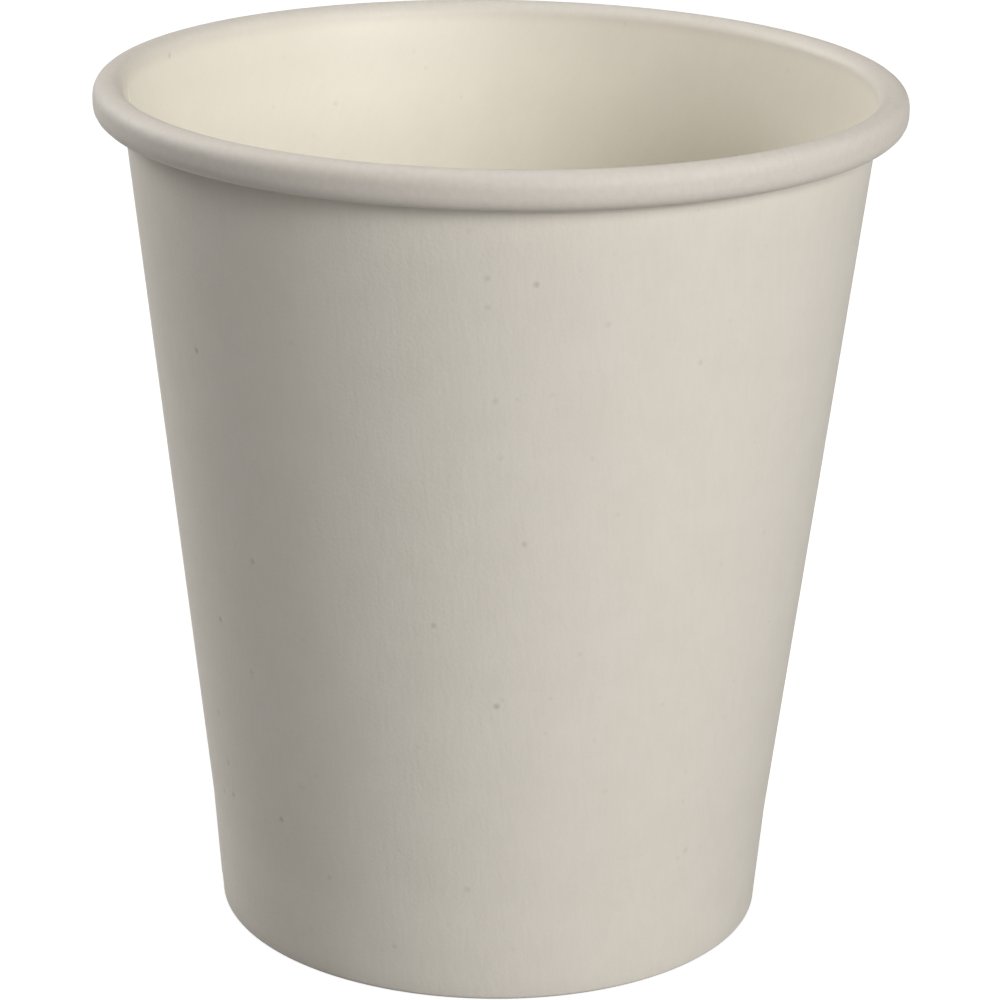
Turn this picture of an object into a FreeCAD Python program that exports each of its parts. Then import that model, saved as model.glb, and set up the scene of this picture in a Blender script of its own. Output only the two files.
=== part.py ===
import FreeCAD, Part
import math
import os
import Sketcher
from FreeCAD import Vector

# A single-wall paper cup: a rolled and lapped sidewall sheet and a drawn bottom disc.
# The cup stands on z = 0 with its axis on Z, and its side seam is towards -X.

doc = FreeCAD.newDocument("paper_cup")

# Driving dimensions, in millimetres and degrees
SIZES = [
    ("cup_height", 79.0),
    ("rim_diameter", 73.0),
    ("foot_diameter", 50.8),
    ("wall_board", 0.33),
    ("disc_board", 0.28),
    ("bead_width", 2.8),
    ("bead_height", 3.35),
    ("curl_gap", 0.05),
    ("curl_tuck", 0.6),
    ("band_height", 9.5),
    ("band_flare", 0.75),
    ("hem_height", 6.6),
    ("fold_press", 0.03),
    ("recess_depth", 7.8),
    ("disc_corner", 0.9),
    ("skirt_room", 0.1),
    ("seam_azimuth", 178.0),
    ("seam_lap", 10.5),
    ("seam_climb", 2.5),
]
sheet = doc.addObject("Spreadsheet::Sheet", "sizes")
for row, (name, number) in enumerate(SIZES, start=1):
    sheet.set(f"A{row}", name)
    sheet.set(f"B{row}", str(number))
    sheet.setAlias(f"B{row}", name)
doc.recompute()


def size(name):
    return float(getattr(sheet, name))


# Places on a drawn curve, and the drawing's own origin
START, END, CENTRE = range(1, 4)
ORIGIN = (-1, START)


def upright_drawing(name, azimuth="0 deg"):
    """A drawing in the upright half plane at an azimuth: x runs outward and y upward."""
    drawing = doc.addObject("Sketcher::SketchObject", name)
    stood_up = ("create(<<placement>>; create(<<vector>>; 0; 0; 0); "
                "create(<<rotation>>; create(<<vector>>; 1; 0; 0); 90))")
    drawing.setExpression("Placement", f"mrotatez({stood_up}; {azimuth})")
    return drawing


def line(drawing, first, second):
    return drawing.addGeometry(Part.LineSegment(first, second))


def arc(drawing, centre, radius, start_angle, end_angle):
    circle = Part.Circle(centre, Vector(0, 0, 1), radius)
    return drawing.addGeometry(Part.ArcOfCircle(circle, start_angle, end_angle))


def relate(drawing, kind, *places):
    drawing.addConstraint(Sketcher.Constraint(kind, *places))


def drive(drawing, kind, places, formula):
    """Add a dimension whose size comes from the sheet."""
    number = float(drawing.evalExpression(formula))
    index = drawing.addConstraint(Sketcher.Constraint(kind, *places, number))
    drawing.setExpression(f"Constraints[{index}]", formula)


def polar(centre, radius, angle):
    return centre + Vector(radius * math.cos(angle), radius * math.sin(angle), 0)


def on_slope(point, angle, y):
    """The point at a height y on the line that passes through a point at an angle."""
    return Vector(point.x + (y - point.y) / math.tan(angle), y, 0)


def rise_beside(low_point, high_point, radius, high_side):
    """The angle of a line from one point that passes a circle about the other."""
    across = high_point - low_point
    turned = math.asin(radius / across.Length)
    return math.atan2(across.y, across.x) + (turned if high_side else -turned)


# The foot: the band over the disc's skirt, and the fold that holds the skirt. Both pieces
# are drawn from these places, so that the skirt fills the gap between the band and the hem.


def shoulder_point():
    """Where the tapered wall meets the steeper band, on the wall's outer face."""
    return Vector(size("foot_diameter") / 2 + size("band_flare"), size("band_height"), 0)


def foot_fold():
    """The fold's centre and its outer radius."""
    radius = size("wall_board") + size("disc_board") / 2
    return Vector(size("foot_diameter") / 2 - radius, radius - size("fold_press"), 0), radius


def band_rise():
    centre, radius = foot_fold()
    return rise_beside(centre, shoulder_point(), radius, high_side=True)


def drive_foot(drawing, band, fold):
    fold_radius = "sizes.wall_board + sizes.disc_board / 2"
    relate(drawing, "Tangent", band, END, fold, END)
    drive(drawing, "DistanceX", (*ORIGIN, band, START), "sizes.foot_diameter / 2 + sizes.band_flare")
    drive(drawing, "DistanceY", (*ORIGIN, band, START), "sizes.band_height")
    drive(drawing, "Radius", (fold,), fold_radius)
    drive(drawing, "DistanceX", (*ORIGIN, fold, CENTRE), f"sizes.foot_diameter / 2 - ({fold_radius})")
    drive(drawing, "DistanceY", (*ORIGIN, fold, CENTRE), f"{fold_radius} - sizes.fold_press")


# Sidewall: one sheet, drawn in section along its uncoated face


def board_line(name, azimuth="0 deg", with_rim=True, with_wall=True):
    """The uncoated face of the board, from the tucked end of the curl to the top of the hem.

    It goes round the rolled rim, down the tapered wall and the steeper band that lies over
    the disc's skirt, and through the foot fold into the hem. The points are worked out from
    the sizes, so that the curves are drawn where the dimensions then hold them."""
    board = size("wall_board")
    rim_face = size("rim_diameter") / 2 - board
    top_radius = size("bead_width") / 2 - board
    top_centre = Vector(rim_face - top_radius, size("cup_height") - size("bead_width") / 2, 0)
    shoulder = shoulder_point()
    wall_rise = rise_beside(shoulder, top_centre, top_radius, high_side=True)
    wall_side = wall_rise + math.pi / 2

    lean = math.pi / 2 - wall_rise
    bead_foot = size("cup_height") - size("bead_height") + board
    rim_room = rim_face - on_slope(shoulder, wall_rise, bead_foot).x
    low_room = rim_room * math.cos(lean) - size("curl_gap") - board
    low_radius = low_room / (1 + math.cos(lean) + math.sin(lean))
    low_centre = Vector(rim_face - low_radius, bead_foot + low_radius, 0)
    tuck_foot = polar(low_centre, low_radius, wall_side)

    fold_centre, fold_radius = foot_fold()
    band_side = band_rise() - math.pi / 2
    hem_side = band_side - math.pi
    hem_foot = polar(fold_centre, fold_radius, hem_side)

    drawing = upright_drawing(name, azimuth)
    tuck = line(drawing, polar(tuck_foot, size("curl_tuck"), wall_rise), tuck_foot)
    low_turn = arc(drawing, low_centre, low_radius, wall_side, 2 * math.pi)
    bead_side = line(drawing, polar(low_centre, low_radius, 0), polar(top_centre, top_radius, 0))
    top_turn = arc(drawing, top_centre, top_radius, 0, wall_side)
    wall = line(drawing, polar(top_centre, top_radius, wall_side), shoulder)
    band = line(drawing, shoulder, polar(fold_centre, fold_radius, band_side))
    fold = arc(drawing, fold_centre, fold_radius, hem_side, band_side)
    hem = line(drawing, hem_foot, on_slope(hem_foot, band_rise(), size("hem_height")))
    lowest = drawing.addGeometry(Part.Point(low_centre - Vector(0, low_radius, 0)), True)

    relate(drawing, "Tangent", tuck, END, low_turn, START)
    relate(drawing, "Tangent", low_turn, END, bead_side, START)
    relate(drawing, "Tangent", bead_side, END, top_turn, START)
    relate(drawing, "Tangent", top_turn, END, wall, START)
    relate(drawing, "Coincident", wall, END, band, START)
    relate(drawing, "Tangent", fold, START, hem, START)
    relate(drawing, "Vertical", bead_side)
    relate(drawing, "Parallel", tuck, wall)
    relate(drawing, "Parallel", hem, band)
    relate(drawing, "PointOnObject", lowest, START, low_turn)
    relate(drawing, "Vertical", lowest, START, low_turn, CENTRE)

    drive_foot(drawing, band, fold)
    drive(drawing, "DistanceY", (*ORIGIN, hem, END), "sizes.hem_height")
    drive(drawing, "DistanceX", (*ORIGIN, top_turn, START), "sizes.rim_diameter / 2 - sizes.wall_board")
    drive(drawing, "DistanceY", (*ORIGIN, top_turn, CENTRE), "sizes.cup_height - sizes.bead_width / 2")
    drive(drawing, "Radius", (top_turn,), "sizes.bead_width / 2 - sizes.wall_board")
    drive(drawing, "DistanceY", (*ORIGIN, lowest, START),
          "sizes.cup_height - sizes.bead_height + sizes.wall_board")
    drive(drawing, "Distance", (tuck, END, wall), "sizes.curl_gap + sizes.wall_board")
    drive(drawing, "Distance", (tuck,), "sizes.curl_tuck")

    left_out = [] if with_rim else [tuck, low_turn, bead_side, top_turn]
    left_out += [] if with_wall else [wall, band, fold, hem]
    for curve in left_out:
        drawing.setConstruction(curve, True)
    return drawing


def thicken(name, drawn_line, thickness):
    """The section of a board that lies on one side of a drawn line."""
    section = doc.addObject("Part::Offset2D", name)
    section.Source = drawn_line
    section.Mode = "Skin"
    section.Join = "Intersection"
    section.Fill = True
    section.setExpression("Value", thickness)
    return section


def sweep_round(name, section, angle):
    """Sweep a section about the cup's axis, clockwise from above, as the sheet is wrapped."""
    swept = doc.addObject("Part::Revolution", name)
    swept.Source = section
    swept.Base = Vector(0, 0, 0)
    swept.Axis = Vector(0, 0, -1)
    swept.Solid = False
    swept.setExpression("Angle", angle)
    return swept


# The sheet starts at the seam and goes round to where it begins to climb on to itself. The
# climb is a short ramp, and the outer ply then lies on the inner one as far as its cut edge.
# The rolled rim is pressed smooth across the seam, so the climb and the lap end inside it.
sheet_line = board_line("sheet_line")
rim_line = board_line("rim_line", with_wall=False)
lap_line = board_line("lap_line", with_rim=False)
climb_line = board_line("climb_line", "sizes.seam_climb * 1 deg", with_rim=False)

inner_section = thicken("inner_ply_section", sheet_line, "-sizes.wall_board")
rim_section = thicken("rim_section", rim_line, "-sizes.wall_board")
climb_section = thicken("climb_section", climb_line, "-sizes.wall_board")
outer_section = thicken("outer_ply_section", lap_line, "sizes.wall_board")

inner_ply = sweep_round("inner_ply", inner_section, "360 - sizes.seam_climb")
rim_across_seam = sweep_round("rim_across_seam", rim_section, "-sizes.seam_climb")
outer_ply = sweep_round("outer_ply", outer_section, "sizes.seam_lap")
climb = doc.addObject("Part::Loft", "climb")
climb.Sections = [climb_section, outer_section]
climb.Solid = True
climb.Ruled = True

wrapped_sheet = doc.addObject("Part::MultiFuse", "wrapped_sheet")
wrapped_sheet.Shapes = [inner_ply, rim_across_seam, climb, outer_ply]

# The foot fold is pressed flat where the cup stands
press = doc.addObject("Part::Cylinder", "press")
press.setExpression("Radius", "sizes.foot_diameter")
press.setExpression("Height", "sizes.foot_diameter / 2")
press.setExpression("Placement.Base.z", "-sizes.foot_diameter / 2")

sidewall = doc.addObject("Part::Cut", "sidewall")
sidewall.Label = "sidewall"
sidewall.Base = wrapped_sheet
sidewall.Tool = press
sidewall.setExpression("Placement.Rotation.Angle", "sizes.seam_azimuth")

# Bottom disc: a flat round whose drawn-down skirt lies between the band and the hem


def disc_line(name):
    """The coated upper face of the disc, from its centre to the foot of its skirt."""
    fold_centre, fold_radius = foot_fold()
    band_side = band_rise() - math.pi / 2
    seat = polar(fold_centre, fold_radius - size("wall_board"), band_side)
    floor = size("recess_depth") + size("disc_board")
    corner = size("disc_corner")
    skirt_there = on_slope(seat, band_rise(), floor - corner)
    bend_centre = skirt_there - Vector(corner / math.sin(band_rise()), 0, 0)
    skirt_end = on_slope(seat, band_rise(), fold_centre.y + size("skirt_room"))

    drawing = upright_drawing(name)
    floor_line = line(drawing, Vector(0, floor, 0), bend_centre + Vector(0, corner, 0))
    bend = arc(drawing, bend_centre, corner, band_side, math.pi / 2)
    skirt = line(drawing, polar(bend_centre, corner, band_side), skirt_end)
    band = line(drawing, shoulder_point(), polar(fold_centre, fold_radius, band_side))
    fold = arc(drawing, fold_centre, fold_radius, -math.pi, band_side)
    drawing.setConstruction(band, True)
    drawing.setConstruction(fold, True)

    relate(drawing, "Vertical", *ORIGIN, floor_line, START)
    relate(drawing, "Horizontal", floor_line)
    relate(drawing, "Tangent", floor_line, END, bend, END)
    relate(drawing, "Tangent", bend, START, skirt, START)
    relate(drawing, "Parallel", skirt, band)
    relate(drawing, "Horizontal", fold, CENTRE, fold, START)

    drive_foot(drawing, band, fold)
    drive(drawing, "Distance", (skirt, END, band), "sizes.wall_board")
    drive(drawing, "DistanceY", (*ORIGIN, floor_line, START), "sizes.recess_depth + sizes.disc_board")
    drive(drawing, "Radius", (bend,), "sizes.disc_corner")
    drive(drawing, "DistanceY", (fold, CENTRE, skirt, END), "sizes.skirt_room")
    return drawing


disc_section = thicken("disc_section", disc_line("disc_line"), "-sizes.disc_board")
bottom_disc = sweep_round("bottom_disc", disc_section, "360")
bottom_disc.Label = "bottom_disc"

# Build the pieces, check them and write each to its own file
doc.recompute()
for item in doc.Objects:
    faults = [word for word in item.State if word in ("Invalid", "Error")]
    if faults:
        raise RuntimeError(f"{item.Name} failed: {faults}")
pieces = [sidewall, bottom_disc]
for piece in pieces:
    if piece.Shape.isNull() or not piece.Shape.isValid() or len(piece.Shape.Solids) != 1:
        raise RuntimeError(f"{piece.Label} has no single valid solid")

os.makedirs("parts", exist_ok=True)
for piece in pieces:
    piece.Shape.exportStep(f"parts/{piece.Label}.step")
    print(piece.Label, "volume", round(piece.Shape.Volume, 2), "mm3, box", piece.Shape.BoundBox)
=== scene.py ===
from math import asin, atan2, cos, pi, radians, sin, tan

import bpy
from mathutils import Matrix, Vector


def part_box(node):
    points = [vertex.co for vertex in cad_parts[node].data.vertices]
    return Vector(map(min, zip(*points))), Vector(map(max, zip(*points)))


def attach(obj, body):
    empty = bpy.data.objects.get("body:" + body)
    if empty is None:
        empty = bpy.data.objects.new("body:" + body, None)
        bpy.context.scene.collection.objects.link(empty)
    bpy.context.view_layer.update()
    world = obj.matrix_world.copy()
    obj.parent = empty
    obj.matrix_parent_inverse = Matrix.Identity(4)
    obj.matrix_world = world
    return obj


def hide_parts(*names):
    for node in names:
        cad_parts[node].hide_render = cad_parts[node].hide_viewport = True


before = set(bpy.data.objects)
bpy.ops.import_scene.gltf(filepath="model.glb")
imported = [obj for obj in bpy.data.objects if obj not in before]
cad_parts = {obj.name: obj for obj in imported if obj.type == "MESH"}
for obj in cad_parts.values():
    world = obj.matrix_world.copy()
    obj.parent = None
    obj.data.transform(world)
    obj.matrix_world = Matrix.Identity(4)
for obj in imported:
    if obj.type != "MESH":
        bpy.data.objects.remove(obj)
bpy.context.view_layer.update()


# The camera looks down on the cup from a little above its rim, as across a table. It leans
# over slightly, as a camera held in the hand does.
MM = 0.001
camera_distance = 351.6 * MM
camera_height_angle = radians(18.714)
camera_lean = radians(0.965)
aim_point = Vector((0.503, 0.0, 38.946)) * MM
focal_length = 136.1
film_width = 36.0
nearest_seen = 10 * MM

bpy.ops.object.camera_add()
camera = bpy.context.object
camera.name = "camera"
camera.data.lens = focal_length
camera.data.sensor_width = film_width
camera.data.clip_start = nearest_seen
camera_place = Vector((0, -camera_distance * cos(camera_height_angle),
                       aim_point.z + camera_distance * sin(camera_height_angle)))
look = (aim_point - camera_place).normalized()
turn = look.to_track_quat("-Z", "Y").to_matrix() @ Matrix.Rotation(camera_lean, 3, "Z")
camera.matrix_world = Matrix.Translation(camera_place) @ turn.to_4x4()
bpy.context.scene.camera = camera
bpy.context.scene.view_settings.view_transform = "Standard"


# The studio: a grey table top that looks white to the eye, soft lamps at the right in front
# and at the left behind, one above, and a little light from all round.
table_size = 6.0
table_grey = 0.3
table_roughness = 0.9
table_glow = 0.85
even_light_strength = 0.01


def add_node(tree, kind, **settings):
    """Add a shader node and set its options."""
    node = tree.nodes.new("ShaderNode" + kind)
    for name, value in settings.items():
        setattr(node, name, value)
    return node


def feed(tree, source, socket):
    """Give a socket another socket's output, or a plain value."""
    if isinstance(source, bpy.types.NodeSocket):
        tree.links.new(source, socket)
    else:
        socket.default_value = source


def calculate(tree, operation, *values):
    """Put values through a Math node."""
    node = add_node(tree, "Math", operation=operation)
    for value, socket in zip(values, node.inputs):
        feed(tree, value, socket)
    return node.outputs[0]


bpy.ops.mesh.primitive_plane_add(size=table_size, location=(0, 0, 0))
table_top = bpy.context.object
table_top.name = "table_top"
table_paint = bpy.data.materials.new("table_paint")
table_paint.use_nodes = True
tree = table_paint.node_tree
grey_board = tree.nodes["Principled BSDF"]
grey_board.inputs["Base Color"].default_value = (table_grey, table_grey, table_grey, 1)
grey_board.inputs["Roughness"].default_value = table_roughness
grey_board.inputs["Specular IOR Level"].default_value = 0.0
path = add_node(tree, "LightPath")
seen = calculate(tree, "MAXIMUM", path.outputs["Is Camera Ray"], path.outputs["Is Glossy Ray"])
glow = add_node(tree, "Emission")
feed(tree, calculate(tree, "MULTIPLY", seen, table_glow), glow.inputs["Strength"])
bright = add_node(tree, "AddShader")
feed(tree, grey_board.outputs["BSDF"], bright.inputs[0])
feed(tree, glow.outputs["Emission"], bright.inputs[1])
feed(tree, bright.outputs["Shader"], tree.nodes["Material Output"].inputs["Surface"])
table_top.data.materials.append(table_paint)

room = bpy.data.worlds.new("room")
bpy.context.scene.world = room
room.use_nodes = True
tree = room.node_tree
even_light = tree.nodes["Background"]
even_light.inputs["Color"].default_value = (1, 1, 1, 1)
even_light.inputs["Strength"].default_value = even_light_strength
seen_room = add_node(tree, "Background")
path = add_node(tree, "LightPath")
choose = add_node(tree, "MixShader")
feed(tree, path.outputs["Is Camera Ray"], choose.inputs["Fac"])
feed(tree, even_light.outputs["Background"], choose.inputs[1])
feed(tree, seen_room.outputs["Background"], choose.inputs[2])
feed(tree, choose.outputs["Shader"], tree.nodes["World Output"].inputs["Surface"])

# Each lamp's azimuth and height in degrees, its width in metres and its watts. Azimuth 0 is
# towards the camera's right, and every lamp faces the cup's middle.
lamp_distance = 1.0
studio_lamps = (("key_lamp", -60, 28, 0.3, 2.78),
                ("high_key_lamp", -45, 28, 0.3, 1.3),
                ("low_key_lamp", -45, 18, 0.3, 2.12),
                ("front_lamp", -75, 18, 0.3, 1.26),
                ("right_lamp", -30, 8, 0.3, 0.6),
                ("back_lamp", 145, 28, 0.45, 4.79),
                ("left_back_lamp", 165, 28, 0.45, 1.85),
                ("top_lamp", 0, 89, 0.6, 3.46))
for name, azimuth, height, width, watts in studio_lamps:
    azimuth, height = radians(azimuth), radians(height)
    place = Vector((cos(azimuth) * cos(height), sin(azimuth) * cos(height), sin(height)))
    place = place * lamp_distance + aim_point
    bpy.ops.object.light_add(type="AREA", location=place)
    lamp = bpy.context.object
    lamp.name = name
    lamp.data.shape = "SQUARE"
    lamp.data.size = width
    lamp.data.energy = watts
    lamp.visible_camera = False
    lamp.rotation_euler = (aim_point - place).to_track_quat("-Z", "Y").to_euler()


# The sidewall: one sheet of cup board, 0.33 mm thick, cut as a fan and wrapped clockwise
# round a cone until it overlaps itself at the seam. Its top edge is rolled outward into the
# drinking rim, and its foot is folded in and up again to hold the bottom disc.
cup_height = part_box("sidewall")[1][2]
board = 0.33 * MM
disc_board = 0.28 * MM
rim_radius = 36.495 * MM
bead_width = 2.8 * MM
bead_height = 3.35 * MM
curl_gap = 0.05 * MM
curl_tuck = 0.6 * MM
foot_radius = 25.40 * MM
band_height = 9.5 * MM
band_flare = 0.75 * MM
hem_height = 6.6 * MM

seam_azimuth = radians(178.0)
around_columns = 576
lap_columns = 17
climb_columns = 4
column_turn = radians(360 / around_columns)

# The sheet is drawn in section, along its uncoated face, in the x and z of the page.
hem_steps, fold_steps, band_steps, wall_steps = 6, 10, 6, 20
crest_steps, side_steps, curl_steps, tuck_steps = 12, 2, 10, 2
rim_face = rim_radius - board
top_round = bead_width / 2 - board
top_centre = Vector((rim_face - top_round, 0, cup_height - bead_width / 2))
fold_round = board + disc_board / 2
fold_centre = Vector((foot_radius - fold_round, 0, fold_round))
shoulder = Vector((foot_radius + band_flare, 0, band_height))


def lean_past(low_point, high_point, radius, side):
    """How far from upright a line leans that leaves a point and just passes a circle."""
    across = high_point - low_point
    return atan2(across.x, across.z) - side * asin(radius / across.length)


wall_lean = lean_past(shoulder, top_centre, top_round, 1)
band_lean = lean_past(fold_centre, shoulder, fold_round, 1)
bead_foot = cup_height - bead_height + board
rim_room = rim_face - shoulder.x - (bead_foot - shoulder.z) * tan(wall_lean)
low_room = rim_room * cos(wall_lean) - curl_gap - board
low_round = low_room / (1 + cos(wall_lean) + sin(wall_lean))
low_centre = Vector((rim_face - low_round, 0, bead_foot + low_round))


def off_centre(centre, radius, lean):
    """A point on a circle, on the side of it that faces a line which leans so."""
    return centre + Vector((-cos(lean), 0, sin(lean))) * radius


hem_foot = off_centre(fold_centre, fold_round, band_lean)
hem_top = hem_foot + Vector((tan(band_lean), 0, 1)) * (hem_height - hem_foot.z)
band_foot = 2 * fold_centre - hem_foot
wall_top = off_centre(top_centre, top_round, wall_lean)


def start_section(name, place):
    """Begin a piece as one point, from which its section is drawn."""
    bpy.ops.object.select_all(action="DESELECT")
    bpy.ops.mesh.primitive_plane_add(size=MM, location=place)
    piece = bpy.context.object
    piece.name = name
    bpy.ops.object.transform_apply(location=True)
    bpy.ops.object.mode_set(mode="EDIT")
    bpy.ops.mesh.merge(type="CENTER")
    return piece


def draw_line(start, end, steps):
    """Extrude the drawn end of the section along a straight run."""
    for step in range(steps):
        bpy.ops.mesh.extrude_region_move(TRANSFORM_OT_translate={"value": (end - start) / steps})


def draw_round(centre, angle, steps):
    """Spin the drawn end of the section round a centre, clockwise on the page if negative."""
    bpy.ops.mesh.spin(steps=steps, angle=angle, center=centre, axis=(0, 1, 0))


sidewall = start_section("folded_sidewall", hem_top)
draw_line(hem_top, hem_foot, hem_steps)
draw_round(fold_centre, pi, fold_steps)
draw_line(band_foot, shoulder, band_steps)
draw_line(shoulder, wall_top, wall_steps)
draw_round(top_centre, wall_lean - pi, crest_steps)
draw_line(Vector((rim_face, 0, top_centre.z)), Vector((rim_face, 0, low_centre.z)), side_steps)
draw_round(low_centre, -pi - wall_lean, curl_steps)
tuck_foot = off_centre(low_centre, low_round, wall_lean)
tuck_top = tuck_foot + Vector((sin(wall_lean), 0, cos(wall_lean))) * curl_tuck
draw_line(tuck_foot, tuck_top, tuck_steps)
bpy.ops.object.mode_set(mode="OBJECT")

# Each drawn point notes how far along the board it lies, from the hem's cut edge to the curl's.
drawn = sidewall.data
neighbours = {point.index: [] for point in drawn.vertices}
for edge in drawn.edges:
    first, second = edge.vertices
    neighbours[first].append(second)
    neighbours[second].append(first)
here = min((point for point in drawn.vertices if len(neighbours[point.index]) == 1),
           key=lambda point: (point.co - hem_top).length).index
along = drawn.attributes.new("along", "FLOAT", "POINT").data
walked = {here}
while True:
    ahead = [point for point in neighbours[here] if point not in walked]
    if not ahead:
        break
    there = ahead[0]
    gap = (drawn.vertices[there].co - drawn.vertices[here].co).length
    along[there].value = along[here].value + gap
    walked.add(there)
    here = there
drawn_points = len(drawn.vertices)

# The section is swept round the cone, once round and on over the lap.
bpy.ops.object.mode_set(mode="EDIT")
bpy.ops.mesh.select_all(action="SELECT")
all_columns = around_columns + lap_columns
bpy.ops.mesh.spin(steps=all_columns, center=(0, 0, 0), axis=(0, 0, 1),
                  angle=column_turn * all_columns)
bpy.ops.object.mode_set(mode="OBJECT")
sidewall.rotation_euler.z = seam_azimuth
bpy.ops.object.transform_apply(rotation=True)

# The lapped end climbs on to the sheet's start, and the hem is pressed into upright ribs,
# which are shallower at its cut edge and run out at the fold.
lap_rise = board
lap_rise_in_rim = 0.01 * MM
rim_fade = 6.8 * MM
rib_columns = 8
rib_depth = 0.09 * MM
rib_edge_loss = 0.5
rib_edge_share = 0.2


def ease(amount):
    """Run from 0 to 1 with soft ends."""
    amount = min(max(amount, 0), 1)
    return amount * amount * (3 - 2 * amount)


wrapped = sidewall.data
lengths = [item.value for item in wrapped.attributes["along"].data]
outward = [point.normal.copy() for point in wrapped.vertices]
hem_length = (hem_foot - hem_top).length
rim_start = hem_length + pi * fold_round + (shoulder - band_foot).length
rim_start += (wall_top - shoulder).length
for point in wrapped.vertices:
    column = point.index // drawn_points
    length = lengths[point.index]
    climbed = ease((column - around_columns + climb_columns) / climb_columns)
    in_rim = ease((length - rim_start + rim_fade) / rim_fade)
    rise = climbed * (lap_rise + (lap_rise_in_rim - lap_rise) * in_rim)
    at_edge = ease(1 - length / (rib_edge_share * hem_length))
    up_hem = ease(1 - length / hem_length) * (1 - rib_edge_loss * at_edge)
    rise += up_hem * rib_depth * (0.5 + 0.5 * cos(2 * pi * column / rib_columns))
    point.co += outward[point.index] * rise
    point.co.z = max(point.co.z, 0)

# A flat pattern of the blank, in metres, on which the board's grain is straight.
flat_board = wrapped.uv_layers.new(name="flat_board").data
apex_to_hem = shoulder.x / sin(wall_lean) - rim_start + (wall_top - shoulder).length
for corner in wrapped.loops:
    column = corner.vertex_index // drawn_points
    fan_angle = (column - all_columns / 2) * column_turn * sin(wall_lean)
    reach = apex_to_hem + lengths[corner.vertex_index]
    flat_board[corner.index].uv = (reach * sin(fan_angle), reach * cos(fan_angle))


def remap(tree, value, low, high, new_low, new_high):
    """Turn one range of a value into another, with eased ends."""
    node = add_node(tree, "MapRange", interpolation_type="SMOOTHSTEP")
    for source, name in ((value, "Value"), (low, "From Min"), (high, "From Max"),
                         (new_low, "To Min"), (new_high, "To Max")):
        feed(tree, source, node.inputs[name])
    return node.outputs["Result"]


def blend_colours(tree, amount, first, second, kind="MIX"):
    """Mix or multiply two colours by an amount."""
    node = add_node(tree, "Mix", data_type="RGBA", blend_type=kind)
    colour_sockets = [item for item in node.inputs if item.type == "RGBA"]
    feed(tree, amount, node.inputs["Factor"])
    feed(tree, first, colour_sockets[0])
    feed(tree, second, colour_sockets[1])
    return [item for item in node.outputs if item.type == "RGBA"][0]


def noise(tree, place, scale, detail=2.0, roughness=0.5):
    """A soft random pattern, mostly from noise_low to noise_high."""
    node = add_node(tree, "TexNoise")
    feed(tree, place, node.inputs["Vector"])
    node.inputs["Scale"].default_value = scale
    node.inputs["Detail"].default_value = detail
    node.inputs["Roughness"].default_value = roughness
    return node.outputs["Fac"]


def new_group(name, place_name, *mask_names):
    """An empty group of nodes that takes a place and puts out masks."""
    group = bpy.data.node_groups.new(name, "ShaderNodeTree")
    group.interface.new_socket(place_name, in_out="INPUT", socket_type="NodeSocketVector")
    for mask in mask_names:
        group.interface.new_socket(mask, in_out="OUTPUT", socket_type="NodeSocketFloat")
    place = group.nodes.new("NodeGroupInput").outputs[place_name]
    return group, place, group.nodes.new("NodeGroupOutput")


noise_low = 0.3
noise_high = 0.7
palest_sum = 1.3
deepest_sum = 0.7

# The board's fibres lie mostly one way, at a slant across the blank, with clouds of thicker
# and thinner stock between them.
grain_turn = radians(14)
fibre_width = 0.65 * MM
fibre_slimness = 5.0
streak_share = 0.6
crumb_fineness = 2.0
cloud_size = 5.0 * MM

fibre_grain, board_place, result = new_group("fibre_grain", "Board Place", "Cloud", "Fibre")
along_grain = add_node(fibre_grain, "Mapping", vector_type="TEXTURE")
along_grain.inputs["Rotation"].default_value = (0, 0, -grain_turn)
along_grain.inputs["Scale"].default_value = (1, fibre_slimness, 1)
feed(fibre_grain, board_place, along_grain.inputs["Vector"])
streaks = noise(fibre_grain, along_grain.outputs["Vector"], 1 / fibre_width, roughness=0.55)
crumbs = noise(fibre_grain, board_place, crumb_fineness / fibre_width, detail=1.0)
crumbs = calculate(fibre_grain, "MULTIPLY", crumbs, 1 - streak_share)
fibres = calculate(fibre_grain, "MULTIPLY_ADD", streaks, streak_share, crumbs)
feed(fibre_grain, fibres, result.inputs["Fibre"])
clouds = noise(fibre_grain, board_place, 1 / cloud_size, detail=3.0, roughness=0.6)
feed(fibre_grain, clouds, result.inputs["Cloud"])

# Dark specks of bark and ink in the stock: those that the photograph shows, at its pixels,
# with how dark each is, and faint ones all over.
speck_pixels = ((536, 284, 0.56), (496, 706, 0.7), (487, 278, 0.36), (488, 307, 0.28),
                (495, 401, 0.3), (500, 458, 0.18), (524, 544, 0.4), (433, 625, 0.46),
                (281, 819, 0.6), (224, 790, 0.45), (233, 794, 0.6), (467, 889, 0.35),
                (608, 324, 0.25), (700, 362, 0.27), (196, 350, 0.74), (252, 561, 0.5),
                (579, 654, 0.17), (220, 619, 0.62), (251, 672, 0.3), (329, 877, 0.28),
                (685, 850, 0.25), (395, 945, 0.35), (218, 712, 0.3), (228, 762, 0.4),
                (300, 786, 0.12))
inside_speck_pixels = ((169, 55, 0.45), (335, 103, 0.25))
speck_radius = 0.40 * MM
faint_speck_spacing = 3.2 * MM
faint_speck_reach = 0.11
faint_speck_darkness = 0.15
photo_width = 1000


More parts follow.
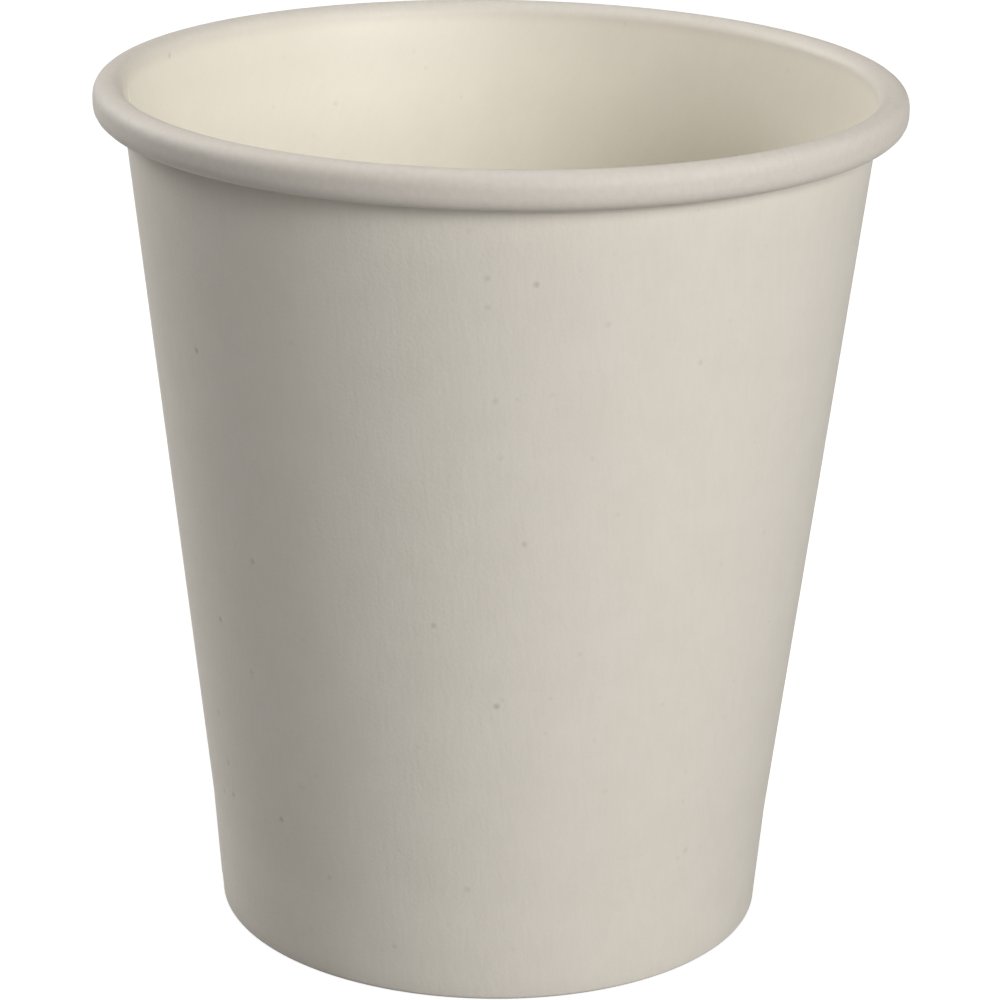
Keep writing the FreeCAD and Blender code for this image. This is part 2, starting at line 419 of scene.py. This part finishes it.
def place_on_wall(across, down, radius_at_foot, crossing):
    """Where the eye's line through a pixel of the photograph meets the wall."""
    sight = Vector(((across + 0.5) / photo_width - 0.5, 0.5 - (down + 0.5) / photo_width,
                    -focal_length / film_width))
    sight = turn @ sight
    slope = tan(wall_lean)
    start = radius_at_foot + slope * camera_place.z
    square = sight.x ** 2 + sight.y ** 2 - (slope * sight.z) ** 2
    half = camera_place.x * sight.x + camera_place.y * sight.y - start * slope * sight.z
    rest = camera_place.x ** 2 + camera_place.y ** 2 - start ** 2
    reach = (-half + crossing * (half ** 2 - square * rest) ** 0.5) / square
    return camera_place + sight * reach


outer_foot_radius = shoulder.x - shoulder.z * tan(wall_lean)
inner_foot_radius = outer_foot_radius - board / cos(wall_lean)
specks = [(place_on_wall(across, down, outer_foot_radius, -1), darkness)
          for across, down, darkness in speck_pixels]
specks += [(place_on_wall(across, down, inner_foot_radius, 1), darkness)
           for across, down, darkness in inside_speck_pixels]

dark_specks, place, result = new_group("dark_specks", "Place", "Speck")
cells = add_node(dark_specks, "TexVoronoi")
cells.inputs["Scale"].default_value = 1 / faint_speck_spacing
feed(dark_specks, place, cells.inputs["Vector"])
darkest = remap(dark_specks, cells.outputs["Distance"], 0.0, faint_speck_reach,
                faint_speck_darkness, 0.0)
for speck_place, darkness in specks:
    away = add_node(dark_specks, "VectorMath", operation="DISTANCE")
    feed(dark_specks, place, away.inputs[0])
    away.inputs[1].default_value = speck_place
    spot = calculate(dark_specks, "MULTIPLY_ADD", away.outputs["Value"],
                     -darkness / speck_radius, darkness)
    darkest = calculate(dark_specks, "MAXIMUM", darkest, spot)
feed(dark_specks, darkest, result.inputs["Speck"])

# Where the top edge is rolled, the lining is rougher and less glossy, and its colour is darkened
# and greyed as painted shade on the bead, all in soft blotches.
roll_crest = apex_to_hem + rim_start + top_round * (pi / 2 - wall_lean)
roll_start = roll_crest - 2.6 * MM
blotch_size = 0.6 * MM
least_shade_and_strain = 0.88
# The grey tint multiplied into the rolled rim's colour: painted shade that darkens the bead.
painted_rim_shade_tint = (0.778, 0.759, 0.779)
strain_roughness = 0.25
strain_relief = 4.5

# One mask for the rim's painted shade, roughness and relief: the rolled part, in soft blotches.
rim_shade_and_strain, board_place, result = new_group("rim_shade_and_strain", "Board Place", "Rolled")
from_apex = add_node(rim_shade_and_strain, "VectorMath", operation="LENGTH")
feed(rim_shade_and_strain, board_place, from_apex.inputs[0])
past_start = remap(rim_shade_and_strain, from_apex.outputs["Value"], roll_start, roll_crest, 0.0, 1.0)
blotches = noise(rim_shade_and_strain, board_place, 1 / blotch_size)
blotches = remap(rim_shade_and_strain, blotches, noise_low, noise_high, least_shade_and_strain, 1.0)
feed(rim_shade_and_strain, calculate(rim_shade_and_strain, "MULTIPLY", past_start, blotches), result.inputs["Rolled"])


def add_group(tree, group, place):
    """Place a group of nodes in a material and tell it the place on the piece."""
    node = add_node(tree, "Group", node_tree=group)
    feed(tree, place, node.inputs[0])
    return node


def paper_surface(name, deep, pale, speck_colour, roughness, relief):
    """A paper surface: clouds and fibres in two shades, specks, painted rim shade, fibre relief.
    """
    paint = bpy.data.materials.new(name)
    paint.use_nodes = True
    tree = paint.node_tree
    board_place = add_node(tree, "UVMap", uv_map="flat_board").outputs["UV"]
    object_place = add_node(tree, "TexCoord").outputs["Object"]
    grain = add_group(tree, fibre_grain, board_place)
    fibre = grain.outputs["Fibre"]
    speck = add_group(tree, dark_specks, object_place).outputs["Speck"]
    rolled = add_group(tree, rim_shade_and_strain, board_place).outputs["Rolled"]
    shade = calculate(tree, "ADD", grain.outputs["Cloud"], fibre)
    shade = remap(tree, shade, deepest_sum, palest_sum, 0.0, 1.0)
    stock = blend_colours(tree, shade, (*deep, 1), (*pale, 1))
    # Painted shade: the rolled rim's colour is darkened and greyed by the tint.
    stock = blend_colours(tree, rolled, stock, (*painted_rim_shade_tint, 1), "MULTIPLY")
    colour = blend_colours(tree, speck, stock, (*speck_colour, 1))
    shader = tree.nodes["Principled BSDF"]
    feed(tree, colour, shader.inputs["Base Color"])
    smoothest, roughest = roughness
    rough = remap(tree, fibre, noise_low, noise_high, smoothest, roughest)
    rough = calculate(tree, "MULTIPLY_ADD", rolled, strain_roughness, rough)
    feed(tree, rough, shader.inputs["Roughness"])
    bump = add_node(tree, "Bump")
    bump.inputs["Distance"].default_value = relief
    rise = calculate(tree, "MULTIPLY_ADD", rolled, strain_relief, 1.0)
    feed(tree, calculate(tree, "MULTIPLY", fibre, rise), bump.inputs["Height"])
    feed(tree, bump.outputs["Normal"], shader.inputs["Normal"])
    return paint


board_paint = paper_surface(
    "uncoated_board", deep=(0.735, 0.687, 0.605), pale=(0.765, 0.717, 0.635),
    speck_colour=(0.42, 0.37, 0.31), roughness=(0.70, 0.85), relief=0.040 * MM)
lining_paint = paper_surface(
    "coated_lining", deep=(0.819, 0.774, 0.672), pale=(0.840, 0.795, 0.693),
    speck_colour=(0.45, 0.42, 0.36), roughness=(0.34, 0.42), relief=0.006 * MM)
edge_paint = paper_surface(
    "cut_edge", deep=(0.68, 0.63, 0.55), pale=(0.74, 0.69, 0.61),
    speck_colour=(0.42, 0.37, 0.31), roughness=(0.85, 0.95), relief=0.02 * MM)

smooth_angle = radians(40)


def thicken(piece, thickness, drawn_paint, under_paint):
    """Give a drawn sheet its paints, and its thickness under the face that was drawn."""
    for paint in (drawn_paint, under_paint, edge_paint):
        piece.data.materials.append(paint)
    solid = piece.modifiers.new("thickness", "SOLIDIFY")
    solid.thickness = thickness
    solid.offset = -1
    solid.material_offset = 1
    solid.material_offset_rim = 2
    bpy.ops.object.modifier_apply(modifier=solid.name)
    bpy.ops.object.shade_smooth_by_angle(angle=smooth_angle)


thicken(sidewall, board, board_paint, lining_paint)
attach(sidewall, "root")
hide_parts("sidewall")


# The bottom disc: a round of thinner board, coated on top, drawn down into a skirt at its
# edge. The skirt is glued between the band and the hem, so that the cup stands on its foot.
recess_depth = 7.8 * MM
disc_corner = 0.9 * MM
skirt_room = 0.1 * MM
merge_distance = 0.01 * MM
disc_columns = 288
floor_steps, bend_steps, skirt_steps = 24, 8, 6

disc_top = recess_depth + disc_board
seat = fold_centre + Vector((cos(band_lean), 0, -sin(band_lean))) * (fold_round - board)


def skirt_at(height):
    """The skirt's outer face at a height, where it lies on the inside of the band."""
    return seat + Vector((tan(band_lean), 0, 1)) * (height - seat.z)


bend_centre = skirt_at(disc_top - disc_corner) - Vector((disc_corner / cos(band_lean), 0, 0))
bend_top = bend_centre + Vector((0, 0, disc_corner))
bend_foot = bend_centre + Vector((cos(band_lean), 0, -sin(band_lean))) * disc_corner
disc_middle = Vector((0, 0, disc_top))
bottom_disc = start_section("drawn_bottom_disc", disc_middle)
draw_line(disc_middle, bend_top, floor_steps)
draw_round(bend_centre, -(pi / 2 + band_lean), bend_steps)
draw_line(bend_foot, skirt_at(fold_centre.z + skirt_room), skirt_steps)
bpy.ops.mesh.select_all(action="SELECT")
bpy.ops.mesh.spin(steps=disc_columns, center=(0, 0, 0), axis=(0, 0, 1), angle=2 * pi)
bpy.ops.mesh.select_all(action="SELECT")
bpy.ops.mesh.remove_doubles(threshold=merge_distance)
bpy.ops.mesh.select_all(action="SELECT")
bpy.ops.mesh.normals_make_consistent(inside=False)
bpy.ops.object.mode_set(mode="OBJECT")
disc_pattern = bottom_disc.data.uv_layers.new(name="flat_board").data
for corner in bottom_disc.data.loops:
    disc_pattern[corner.index].uv = bottom_disc.data.vertices[corner.vertex_index].co.xy
thicken(bottom_disc, disc_board, lining_paint, board_paint)
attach(bottom_disc, "root")
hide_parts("bottom_disc")
